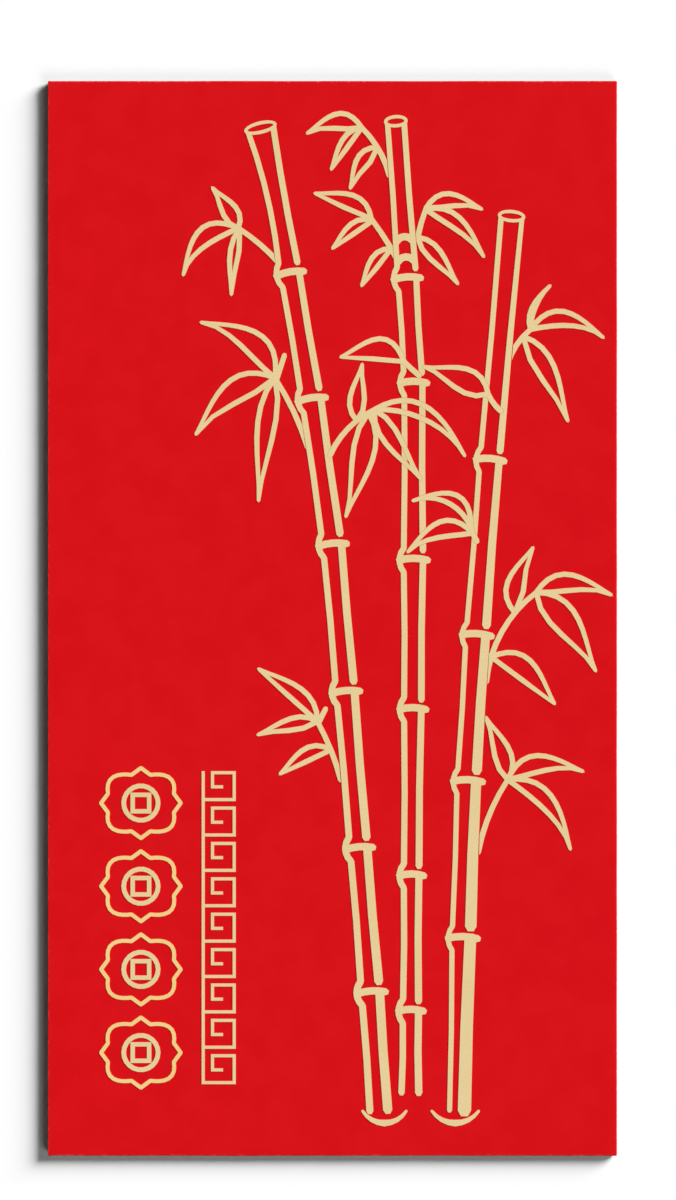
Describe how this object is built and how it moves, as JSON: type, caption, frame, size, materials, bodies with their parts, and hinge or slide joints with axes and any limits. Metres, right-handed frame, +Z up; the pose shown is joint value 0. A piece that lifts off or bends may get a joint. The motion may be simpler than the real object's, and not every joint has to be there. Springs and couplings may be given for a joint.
{
  "type": "red envelope",
  "caption": "Flat red paper gift envelope with a hinged closing flap at the back, glued side and bottom seams and gold foil bamboo, coin medallions and a fret band on the front.",
  "frame": {"origin": "on the table, under the middle of the closed envelope lying on its back", "axes": "+X across the envelope to the right as the front is read, +Y along it to the closing crease, +Z up, out of the decorated front"},
  "size_m": [0.09, 0.17, 0.0015],
  "materials": {
    "red_paper": "coated, matt",
    "gold_foil": "hot-stamped gold",
    "glue": "dried film"
  },
  "bodies": {
    "pocket": {"front_panel": "red_paper", "back_panel": "red_paper", "side_glue_flap": "red_paper", "bottom_flap": "red_paper", "right_side_fold": "red_paper", "left_side_fold": "red_paper", "bottom_fold": "red_paper", "top_fold": "red_paper", "side_seam_glue": "glue", "bottom_seam_glue": "glue", "left_cane": "gold_foil", "middle_cane": "gold_foil", "right_cane": "gold_foil", "left_root": "gold_foil", "right_root": "gold_foil", "left_cane_top_leaves": "gold_foil", "left_cane_outer_leaves": "gold_foil", "left_cane_inner_leaves": "gold_foil", "left_cane_low_leaves": "gold_foil", "middle_cane_top_leaves": "gold_foil", "middle_cane_left_leaves": "gold_foil", "middle_cane_right_leaves": "gold_foil", "middle_cane_low_leaf": "gold_foil", "right_cane_top_leaves": "gold_foil", "right_cane_inner_leaf": "gold_foil", "right_cane_inner_pair": "gold_foil", "right_cane_outer_leaves": "gold_foil", "right_cane_low_leaves": "gold_foil", "medallion_1": "gold_foil", "medallion_2": "gold_foil", "medallion_3": "gold_foil", "medallion_4": "gold_foil", "fret_band": "gold_foil"},
    "flap": {"closing_flap": "red_paper"}
  },
  "joints": [
    {"name": "flap_fold", "type": "hinge", "parent": "pocket", "child": "flap", "pos_m": [0, 0.0843, 0.0007], "axis": [1, 0, 0], "range_deg": [0, 180], "deforming": ["top_fold"]}
  ]
}
